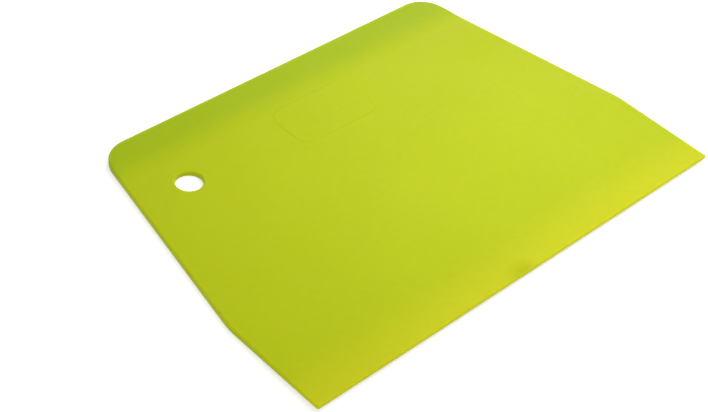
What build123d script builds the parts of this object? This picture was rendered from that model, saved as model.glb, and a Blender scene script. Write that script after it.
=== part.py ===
from build123d import *

# Hand-held scraper card for dough, batter and mixing bowls, moulded in one piece.
# It lies flat on its underside. X runs along the working edge, Y from the working edge
# to the handle edge, Z up. The origin is under the middle of the card.

import os
from math import atan2, degrees

os.makedirs("parts", exist_ok=True)

# Outline, in millimetres
blade_width = 143.0
card_height = 100.0
handle_width = 118.6
shoulder_height = 32.0
handle_corner_radius = 8.5
shoulder_radius = 20.0
blade_corner_radius = 0.6

# Thickness along the card
body_thickness = 1.9
blade_thickness = 1.1
handle_rise = 0.3
handle_margin = 9.0
rise_run = 5.0
taper_radius = 400.0
edge_radius = 0.45
rim_share = 0.42

# Hanging hole near one handle corner
hole_diameter = 7.5
hole_from_handle = 22.8
hole_from_side = 15.85
hole_rim_radius = 0.5

# Blank panel in the grip zone, a hair higher than the face round it
panel_length = 28.8
panel_width = 16.2
panel_corner_radius = 4.5
panel_height = 0.1
panel_slope = 0.3
panel_from_handle = 22.6

# Gate scar on the working edge
gate_width = 9.0
gate_depth = 0.2
gate_offset = 3.5

# Places worked out from the sizes above
blade_y = -card_height / 2
handle_y = card_height / 2
shoulder_y = blade_y + shoulder_height
lean = (blade_width - handle_width) / 2 / (handle_y - shoulder_y)


def side_x(y):
    """Distance from the centre line to the side of the card at height y, above the shoulder."""
    return handle_width / 2 + (handle_y - y) * lean


def is_upright(face):
    """Whether a face is a wall of the card, rather than its top or underside."""
    normal = face.normal_at()
    return abs(normal.Z) < abs(normal.X) + abs(normal.Y)


# The card: its outline, cut to the long section that thins towards the working edge
with BuildPart() as scraper:
    with BuildSketch(Plane.XY):
        with BuildLine():
            Polyline(
                (-blade_width / 2, blade_y),
                (blade_width / 2, blade_y),
                (blade_width / 2, shoulder_y),
                (handle_width / 2, handle_y),
                (-handle_width / 2, handle_y),
                (-blade_width / 2, shoulder_y),
                close=True,
            )
        make_face()
        fillet(vertices().group_by(Axis.Y)[1], shoulder_radius)
        fillet(vertices().group_by(Axis.Y)[0], blade_corner_radius)
        fillet(vertices().group_by(Axis.Y)[-1], handle_corner_radius)
    extrude(amount=body_thickness + handle_rise)

    # The rise to the handle margin is two equal arcs that leave and meet the flats smoothly
    rise_radius = (rise_run**2 + handle_rise**2) / (4 * handle_rise)
    rise_angle = 2 * degrees(atan2(handle_rise, rise_run))
    with BuildSketch(Plane.YZ):
        with BuildLine():
            underside = FilletPolyline(
                (blade_y, body_thickness - blade_thickness),
                (shoulder_y, 0),
                (handle_y, 0),
                radius=taper_radius,
            )
            handle_wall = Line(underside @ 1, (handle_y, body_thickness + handle_rise))
            margin = Line(handle_wall @ 1, (handle_y - handle_margin, body_thickness + handle_rise))
            rise_top = JernArc(margin @ 1, margin % 1, rise_radius, rise_angle)
            rise_foot = JernArc(rise_top @ 1, rise_top % 1, rise_radius, -rise_angle)
            top_face = Line(rise_foot @ 1, (blade_y, body_thickness))
            Line(top_face @ 1, underside @ 0)
        make_face()
    extrude(amount=blade_width / 2, both=True, mode=Mode.INTERSECT)

    # Every rim of the outline is rounded over, top and underside
    walls = faces().filter_by(is_upright)
    rims = walls.edges().filter_by(Axis.Z, reverse=True)
    fillet(rims, min(edge_radius, rim_share * blade_thickness, (1 - rim_share / 2) * blade_corner_radius))

    # Hanging hole, with its rims eased
    hole_y = handle_y - hole_from_handle
    hole_x = -side_x(hole_y) + hole_from_side
    with Locations((hole_x, hole_y, body_thickness)):
        Hole(hole_diameter / 2)
    fillet(edges(Select.LAST).filter_by(GeomType.CIRCLE), hole_rim_radius)

    # Blank panel: a plateau with sloping sides
    with BuildSketch(Plane.XY.offset(body_thickness)) as panel_foot:
        with Locations((0, handle_y - panel_from_handle)):
            RectangleRounded(panel_length, panel_width, panel_corner_radius)
    with BuildSketch(Plane.XY.offset(body_thickness + panel_height)):
        offset(panel_foot.sketch_local, amount=-panel_slope)
    loft()

    # Gate scar: a shallow dish that breaks out at the working edge
    dish_radius = ((gate_width / 2) ** 2 + gate_depth**2) / (2 * gate_depth)
    with Locations((-gate_offset, blade_y, body_thickness - gate_depth + dish_radius)):
        Sphere(dish_radius, mode=Mode.SUBTRACT)

scraper.part.label = "scraper_card"
export_step(scraper.part, "parts/scraper_card.step")
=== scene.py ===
import logging
from dataclasses import dataclass
from enum import Enum
from math import cos, radians, sin

import bmesh
import bpy
from mathutils import Matrix, Quaternion, Vector


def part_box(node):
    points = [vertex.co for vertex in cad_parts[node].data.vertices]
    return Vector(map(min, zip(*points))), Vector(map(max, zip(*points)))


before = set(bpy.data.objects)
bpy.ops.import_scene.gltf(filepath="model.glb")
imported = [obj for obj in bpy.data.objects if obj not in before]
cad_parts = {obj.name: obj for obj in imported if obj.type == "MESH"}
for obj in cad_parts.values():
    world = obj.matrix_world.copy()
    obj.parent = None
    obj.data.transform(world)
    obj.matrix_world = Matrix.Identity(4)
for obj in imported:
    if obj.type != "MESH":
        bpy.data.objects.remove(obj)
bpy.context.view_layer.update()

Triple = tuple[float, float, float]
Colour = tuple[float, float, float, float]
Socket = bpy.types.NodeSocket
Feed = Socket | float | Triple | Colour

MM = 0.001
ORIGIN: Triple = (0.0, 0.0, 0.0)
WHITE: Colour = (1.0, 1.0, 1.0, 1.0)
# The curve of a screen's colours: a straight foot, and a power above it
CHANNEL_TOP = 255.0
FOOT_TOP = 0.04045
FOOT_SLOPE = 12.92
CURVE_SHIFT = 0.055
CURVE_POWER = 2.4
# Blender's noise with this many finer layers hardly ever leaves these two levels
NOISE_LAYERS = 2.0
NOISE_LOW = 0.3
NOISE_HIGH = 0.7
log = logging.getLogger("scraper")


def linear(red: float, green: float, blue: float) -> Colour:
    """Turn a colour as the eye reads it into the renderer's linear one.

    Args:
        red: The red channel, 0 to 255.
        green: The green channel, 0 to 255.
        blue: The blue channel, 0 to 255.

    Returns:
        The linear colour with an alpha of 1.
    """
    flat = []
    for level in (red / CHANNEL_TOP, green / CHANNEL_TOP, blue / CHANNEL_TOP):
        if level <= FOOT_TOP:
            flat.append(level / FOOT_SLOPE)
        else:
            flat.append(((level + CURVE_SHIFT) / (1.0 + CURVE_SHIFT)) ** CURVE_POWER)
    return (flat[0], flat[1], flat[2], 1.0)


class Sum(Enum):
    """The sums that a graph works out, under the renderer's names for them."""

    ADD = "ADD"
    MULTIPLY = "MULTIPLY"
    GREATER = "MAXIMUM"


class Graph:
    """The nodes of one material or world, wired with short calls."""

    def __init__(self, owner: bpy.types.Material | bpy.types.World) -> None:
        """Start an empty node tree.

        Args:
            owner: The material or world that the nodes belong to.
        """
        owner.use_nodes = True
        self.tree = owner.node_tree
        self.tree.nodes.clear()

    def add(self, kind: str) -> bpy.types.Node:
        """Add a node.

        Args:
            kind: The node's Blender type.

        Returns:
            The new node.
        """
        return self.tree.nodes.new(kind)

    def feed(self, socket: Socket, value: Feed) -> None:
        """Give an input its value: the output of another node, or a constant.

        Args:
            socket: The input.
            value: An output socket, a number, three numbers or a colour.
        """
        if isinstance(value, Socket):
            self.tree.links.new(value, socket)
        else:
            socket.default_value = value

    def object_place(self) -> Socket:
        """Return the point on the card that is being shaded, in metres."""
        return self.add("ShaderNodeTexCoord").outputs["Object"]

    def along_card(self, place: Socket) -> Socket:
        """Measure how far a point lies along the card, from its middle towards the handle edge.

        Args:
            place: The point on the card.

        Returns:
            The distance, in metres.
        """
        split = self.add("ShaderNodeSeparateXYZ")
        self.feed(split.inputs["Vector"], place)
        return split.outputs["Y"]

    def shows_background(self) -> Socket:
        """Tell the rays that show the background from those that light the card.

        Returns:
            1 for the camera's rays, mirrored rays and rays that pass through, and 0 for the rest.
        """
        rays = self.add("ShaderNodeLightPath").outputs
        seen = self.calculate(Sum.GREATER, rays["Is Camera Ray"], rays["Is Glossy Ray"])
        return self.calculate(Sum.GREATER, seen, rays["Is Transmission Ray"])

    def ramp(
        self,
        value: Socket,
        start: float,
        end: float,
        low: float = 0.0,
        high: float = 1.0,
    ) -> Socket:
        """Ease a value from one level to another.

        Args:
            value: The value that the ramp follows.
            start: Where the ramp leaves its low level. It may lie above the end.
            end: Where the ramp reaches its high level.
            low: The level before the start.
            high: The level past the end.

        Returns:
            The eased level.
        """
        ramp = self.add("ShaderNodeMapRange")
        ramp.interpolation_type = "SMOOTHSTEP"
        rising = start < end
        self.feed(ramp.inputs["Value"], value)
        self.feed(ramp.inputs["From Min"], start if rising else end)
        self.feed(ramp.inputs["From Max"], end if rising else start)
        self.feed(ramp.inputs["To Min"], low if rising else high)
        self.feed(ramp.inputs["To Max"], high if rising else low)
        return ramp.outputs["Result"]

    def stretch(self, place: Socket, centre: Triple, scale: Triple) -> Socket:
        """Measure a point from a centre, with each axis stretched by its own factor.

        Args:
            place: The point.
            centre: The place that becomes zero.
            scale: The factor along each axis.

        Returns:
            The point in the stretched frame.
        """
        mapping = self.add("ShaderNodeMapping")
        self.feed(mapping.inputs["Vector"], place)
        self.feed(mapping.inputs["Location"], tuple(-at * by for at, by in zip(centre, scale)))
        self.feed(mapping.inputs["Scale"], scale)
        return mapping.outputs["Vector"]

    def length_of(self, vector: Socket) -> Socket:
        """Measure a vector.

        Args:
            vector: The vector.

        Returns:
            Its length.
        """
        length = self.add("ShaderNodeVectorMath")
        length.operation = "LENGTH"
        self.feed(length.inputs[0], vector)
        return length.outputs["Value"]

    def noise(self, place: Socket, size: float) -> Socket:
        """Make soft noise.

        Args:
            place: The coordinates that it follows.
            size: The size of a blotch, in the units of those coordinates.

        Returns:
            The noise, from 0 to 1 with most of it near 0.5.
        """
        texture = self.add("ShaderNodeTexNoise")
        self.feed(texture.inputs["Vector"], place)
        self.feed(texture.inputs["Scale"], 1.0 / size)
        self.feed(texture.inputs["Detail"], NOISE_LAYERS)
        return texture.outputs["Fac"]

    def mottle(self, place: Socket, size: float, centre: float, spread: float) -> Socket:
        """Make a level that soft noise moves up and down.

        Args:
            place: The coordinates that the noise follows.
            size: The size of a blotch, in the units of those coordinates.
            centre: The middle of the level.
            spread: How far the level goes each way.

        Returns:
            The uneven level.
        """
        noise = self.noise(place, size)
        return self.ramp(noise, NOISE_LOW, NOISE_HIGH, centre - spread, centre + spread)

    def calculate(self, which: Sum, first: Feed, second: Feed) -> Socket:
        """Work out a sum of two values.

        Args:
            which: The sum.
            first: The first value, an output or a number.
            second: The second value.

        Returns:
            The result.
        """
        node = self.add("ShaderNodeMath")
        node.operation = which.value
        self.feed(node.inputs[0], first)
        self.feed(node.inputs[1], second)
        return node.outputs["Value"]

    def blend(self, mask: Socket, first: Feed, second: Feed) -> Socket:
        """Blend two colours.

        Args:
            mask: 0 where the first colour shows and 1 where the second does.
            first: The first colour, or the output that gives it.
            second: The second colour, or the output that gives it.

        Returns:
            The blended colour.
        """
        mix = self.add("ShaderNodeMix")
        mix.data_type = "RGBA"
        colours = [socket for socket in mix.inputs if socket.type == "RGBA"]
        self.feed(mix.inputs["Factor"], mask)
        self.feed(colours[0], first)
        self.feed(colours[1], second)
        return next(socket for socket in mix.outputs if socket.type == "RGBA")

    def shade(self, colour: Socket, factor: Socket) -> Socket:
        """Make a colour lighter or darker.

        Args:
            colour: The colour.
            factor: What its brightness is multiplied by.

        Returns:
            The shaded colour.
        """
        node = self.add("ShaderNodeHueSaturation")
        self.feed(node.inputs["Value"], factor)
        self.feed(node.inputs["Color"], colour)
        return node.outputs["Color"]


@dataclass(frozen=True)
class CardZones:
    """Where the card's plastic changes and where light and shade are painted into its colour, in
    metres from the edges of the card's box.
    """

    low: Vector
    high: Vector
    rim_full: float = 0.4 * MM
    rim_end: float = 1.5 * MM
    margin_full: float = 5.5 * MM
    margin_end: float = 16.0 * MM
    blade_full: float = 0.5 * MM
    blade_end: float = 14.5 * MM
    # Where the painted shade round the gate's shallow dish lies and how far it reaches; the flow
    # marks follow the same frame
    gate_offset: float = -2.3 * MM
    gate_reach: float = 0.6 * MM
    gate_width: float = 6.8 * MM
    gate_depth: float = 5.2 * MM

    def lit_rim(self, graph: Graph, place: Socket) -> Socket:
        """Mask the rounded edge of the handle side, where a lighter line is painted for the light
        that gets into it.
        """
        along = graph.along_card(place)
        return graph.ramp(along, self.high.y - self.rim_end, self.high.y - self.rim_full)

    def margin(self, graph: Graph, place: Socket) -> Socket:
        """Mask the thicker band along the handle edge, where the colour is painted darker and
        greener as shade.
        """
        along = graph.along_card(place)
        return graph.ramp(along, self.high.y - self.margin_end, self.high.y - self.margin_full)

    def glowing_blade(self, graph: Graph, place: Socket) -> Socket:
        """Mask the thin strip along the working edge, where a lighter, yellower glow is painted
        for the light that passes through it.
        """
        along = graph.along_card(place)
        return graph.ramp(along, self.low.y + self.blade_end, self.low.y + self.blade_full)

    def from_gate(self, graph: Graph, place: Socket) -> Socket:
        """Measure a point from the gate, in shares of the patch of painted shade that surrounds
        it.

        Args:
            graph: The material's nodes.
            place: The point on the card.

        Returns:
            The point as seen from the gate, with the border of the painted shade at a length of 1.
        """
        centre = (self.gate_offset, self.low.y + self.gate_reach, 0.0)
        return graph.stretch(place, centre, (1.0 / self.gate_width, 1.0 / self.gate_depth, 0.0))


@dataclass(frozen=True)
class LimePlastic:
    """Satin moulded lime plastic that glows a little where light passes through it, with more
    light and shade painted into its colour.
    """

    slot: str = "lime_plastic"
    face: Colour = linear(194, 208, 10)
    # Painted shade: darker and greener along the thick handle edge, for the light that the thick
    # plastic lets through less
    margin: Colour = linear(175, 198, 8)
    # Painted light: lighter on the rounded handle edge, for the light that gets into it and
    # catches it
    lit_rim: Colour = linear(182, 205, 10)
    # Painted light: lighter and yellower along the thin working edge, for the light that passes
    # through it
    glowing_blade: Colour = linear(211, 214, 22)
    # Painted shade: duller and darker round the gate, for the shade of its shallow dish
    gate: Colour = linear(197, 201, 10)
    cloud_size: float = 32.0 * MM
    cloud_depth: float = 0.010
    flow_size: float = 0.35
    flow_depth: float = 0.010
    roughness: float = 0.44
    rough_spread: float = 0.035
    polish_size: float = 9.0 * MM
    specular: float = 0.1
    glow: float = 0.7
    glow_depth: float = 1.4 * MM
    glow_spread: Triple = (1.0, 0.92, 0.2)
    grain_size: float = 0.3 * MM
    grain_height: float = 0.0035 * MM
    scuffs_per_metre: Triple = (40.0, 900.0, 40.0)
    scuff_height: float = 0.002 * MM

    def build(self, zones: CardZones) -> bpy.types.Material:
        """Make the material for a card.

        Args:
            zones: Where the card's plastic changes.

        Returns:
            The new material.
        """
        material = bpy.data.materials.new(self.slot)
        graph = Graph(material)
        place = graph.object_place()
        polish = graph.mottle(place, self.polish_size, self.roughness, self.rough_spread)
        shader = graph.add("ShaderNodeBsdfPrincipled")
        graph.feed(shader.inputs["Base Color"], self.colour(graph, place, zones))
        graph.feed(shader.inputs["Roughness"], polish)
        graph.feed(shader.inputs["Normal"], self.surface(graph, place))
        graph.feed(shader.inputs["Specular IOR Level"], self.specular)
        graph.feed(shader.inputs["Subsurface Weight"], self.glow)
        graph.feed(shader.inputs["Subsurface Scale"], self.glow_depth)
        graph.feed(shader.inputs["Subsurface Radius"], self.glow_spread)
        output = graph.add("ShaderNodeOutputMaterial")
        graph.feed(output.inputs["Surface"], shader.outputs["BSDF"])
        return material

    def colour(self, graph: Graph, place: Socket, zones: CardZones) -> Socket:
        """Colour the card, with light and shade painted in: greener and darker as painted shade
        where thick, a lighter painted line on the rounded handle edge, yellower and lighter as
        painted light where thin, and duller as painted shade round the gate.

        Args:
            graph: The material's nodes.
            place: The point on the card.
            zones: Where its plastic changes.

        Returns:
            The colour.
        """
        # Painted shade: the thick band along the handle edge is coloured darker and greener
        colour = graph.blend(zones.margin(graph, place), self.face, self.margin)
        # Painted light: a lighter line on the rounded handle edge
        colour = graph.blend(zones.lit_rim(graph, place), colour, self.lit_rim)
        # Painted light: a lighter, yellower glow along the thin working edge
        colour = graph.blend(zones.glowing_blade(graph, place), colour, self.glowing_blade)
        from_gate = zones.from_gate(graph, place)
        # Painted shade round the gate's shallow dish, strongest at the gate and gone at its border
        gate_shade_mask = graph.ramp(graph.length_of(from_gate), 1.0, 0.0)
        colour = graph.blend(gate_shade_mask, colour, self.gate)
        clouds = graph.mottle(place, self.cloud_size, 1.0, self.cloud_depth)
        flow = graph.mottle(from_gate, self.flow_size, 1.0, self.flow_depth)
        return graph.shade(colour, graph.calculate(Sum.MULTIPLY, clouds, flow))

    def surface(self, graph: Graph, place: Socket) -> Socket:
        """Give the surface its fine satin grain, and faint scuffs that run with the edges.

        Args:
            graph: The material's nodes.
            place: The point on the card.

        Returns:
            The normal.
        """
        grain = graph.add("ShaderNodeBump")
        graph.feed(grain.inputs["Distance"], self.grain_height)
        graph.feed(grain.inputs["Height"], graph.noise(place, self.grain_size))
        scuffs = graph.add("ShaderNodeBump")
        graph.feed(scuffs.inputs["Distance"], self.scuff_height)
        # A scuff is one unit of this frame each way
        drawn_out = graph.stretch(place, ORIGIN, self.scuffs_per_metre)
        graph.feed(scuffs.inputs["Height"], graph.noise(drawn_out, 1.0))
        graph.feed(scuffs.inputs["Normal"], grain.outputs["Normal"])
        return scuffs.outputs["Normal"]


@dataclass(frozen=True)
class ScraperCard:
    """The scraper itself: one moulded card, whose shape comes from the frame."""

    node: str = "scraper_card"
    plastic: LimePlastic = LimePlastic()

    def build(self) -> bpy.types.Object:
        """Dress the card in its plastic.

        Returns:
            The card's object.
        """
        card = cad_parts[self.node]
        low, high = (Vector(corner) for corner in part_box(self.node))
        card.data.materials.clear()
        card.data.materials.append(self.plastic.build(CardZones(low, high)))
        return card


@dataclass(frozen=True)
class Lamp:
    """A square soft lamp that points at the middle of the card."""

    name: str
    place: Triple
    size: float
    power: float
    mirrored: bool = True

    def hang(self) -> bpy.types.Object:
        """Hang the lamp.

        Returns:
            The lamp's object.
        """
        data = bpy.data.lights.new(self.name, "AREA")
        data.size = self.size
        data.energy = self.power
        lamp = bpy.data.objects.new(self.name, data)
        lamp.location = self.place
        lamp.rotation_mode = "QUATERNION"
        lamp.rotation_quaternion = Vector(self.place).to_track_quat("Z", "Y")
        lamp.visible_glossy = self.mirrored
        bpy.context.scene.collection.objects.link(lamp)
        return lamp


@dataclass(frozen=True)
class Studio:
    """A plain pale room: a floor right under the card, soft lamps and even light all round."""

    floor_reach: float = 3.0
    floor_drop: float = 0.02 * MM
    floor_grey: float = 0.8
    floor_glow: float = 0.55
    room_light: float = 0.34
    lamps: tuple[Lamp, ...] = (
        Lamp("top_lamp", place=(0.05, -0.02, 0.16), size=0.14, power=0.165, mirrored=False),
        Lamp("back_lamp", place=(0.5, 0.35, 0.4), size=0.35, power=0.9),
        Lamp("front_lamp", place=(-0.6, -0.5, 0.38), size=0.6, power=1.8),
        Lamp("edge_lamp", place=(0.16, -0.16, 0.05), size=0.08, power=0.028, mirrored=False),
    )

    def floor_material(self) -> bpy.types.Material:
        """Make the floor's matt white, which shows a little brighter than it is lit.

        Returns:
            The floor's material.
        """
        material = bpy.data.materials.new("floor_white")
        graph = Graph(material)
        paint = graph.add("ShaderNodeBsdfDiffuse")
        graph.feed(paint.inputs["Color"], (self.floor_grey, self.floor_grey, self.floor_grey, 1.0))
        glow = graph.add("ShaderNodeEmission")
        strength = graph.calculate(Sum.MULTIPLY, graph.shows_background(), self.floor_glow)
        graph.feed(glow.inputs["Strength"], strength)
        both = graph.add("ShaderNodeAddShader")
        graph.feed(both.inputs[0], paint.outputs["BSDF"])
        graph.feed(both.inputs[1], glow.outputs["Emission"])
        output = graph.add("ShaderNodeOutputMaterial")
        graph.feed(output.inputs["Surface"], both.outputs["Shader"])
        return material

    def lay_floor(self) -> bpy.types.Object:
        """Lay the floor a hair under the card, so that the two faces don't share a plane.

        Returns:
            The floor's object.
        """
        shape = bmesh.new()
        bmesh.ops.create_grid(shape, x_segments=1, y_segments=1, size=self.floor_reach)
        bmesh.ops.translate(shape, verts=shape.verts, vec=(0.0, 0.0, -self.floor_drop))
        mesh = bpy.data.meshes.new("floor")
        shape.to_mesh(mesh)
        shape.free()
        floor = bpy.data.objects.new("floor", mesh)
        bpy.context.scene.collection.objects.link(floor)
        floor.data.materials.append(self.floor_material())
        return floor

    def light_room(self) -> None:
        """Fill the room with even light, which shows as white."""
        world = bpy.data.worlds.new("room")
        bpy.context.scene.world = world
        graph = Graph(world)
        light = graph.add("ShaderNodeBackground")
        extra = graph.calculate(Sum.MULTIPLY, graph.shows_background(), 1.0 - self.room_light)
        graph.feed(light.inputs["Color"], WHITE)
        strength = graph.calculate(Sum.ADD, extra, self.room_light)
        graph.feed(light.inputs["Strength"], strength)
        output = graph.add("ShaderNodeOutputWorld")
        graph.feed(output.inputs["Surface"], light.outputs["Background"])

    def build(self) -> None:
        """Lay the floor, hang the lamps and light the room."""
        self.lay_floor()
        self.light_room()
        for lamp in self.lamps:
            log.info("lamp: %s", lamp.hang().name)


@dataclass(frozen=True)
class Viewpoint:
    """Where the camera stands, how far it is tilted and what lens it has."""

    azimuth: float = radians(-47.116)
    elevation: float = radians(42.753)
    tilt: float = radians(6.69)
    distance: float = 402.276 * MM
    aim: Triple = (-18.437 * MM, -4.449 * MM, 0.0)
    lens: float = 78.996
    sensor: float = 36.0
    near: float = 10.0 * MM

    def way_back(self) -> Vector:
        """Return the direction from the card to the camera."""
        level = cos(self.elevation)
        return Vector((sin(self.azimuth) * level, -cos(self.azimuth) * level, sin(self.elevation)))

    def turn(self, back: Vector) -> Quaternion:
        """Work out how the camera is turned.

        Args:
            back: The direction from the card to the camera.

        Returns:
            The turn that faces the card, with the camera tilted to one side.
        """
        right = (-back).cross(Vector((0.0, 0.0, 1.0))).normalized()
        up = right.cross(-back)
        across = cos(self.tilt) * right + sin(self.tilt) * up
        upward = cos(self.tilt) * up - sin(self.tilt) * right
        return Matrix((across, upward, back)).transposed().to_quaternion()

    def build(self) -> bpy.types.Object:
        """Set up the camera and make it the scene's own.

        Returns:
            The camera's object.
        """
        back = self.way_back()
        data = bpy.data.cameras.new("camera")
        data.sensor_width = self.sensor
        data.lens = self.lens
        data.clip_start = self.near
        camera = bpy.data.objects.new("camera", data)
        camera.rotation_mode = "QUATERNION"
        camera.rotation_quaternion = self.turn(back)
        camera.location = Vector(self.aim) + back * self.distance
        bpy.context.scene.collection.objects.link(camera)
        bpy.context.scene.camera = camera
        return camera


def main() -> None:
    """Build the camera, the room and the card in order, and report each."""
    logging.basicConfig(level=logging.INFO, format="%(name)s: %(message)s")
    bpy.context.scene.view_settings.view_transform = "Standard"
    log.info("camera: %s", Viewpoint().build().name)
    Studio().build()
    card = ScraperCard().build()
    finish = card.data.materials[0]
    faces = len(card.data.polygons)
    log.info("piece: %s, %d faces, dressed in %s", card.name, faces, finish.name)


if __name__ == "__main__":
    main()
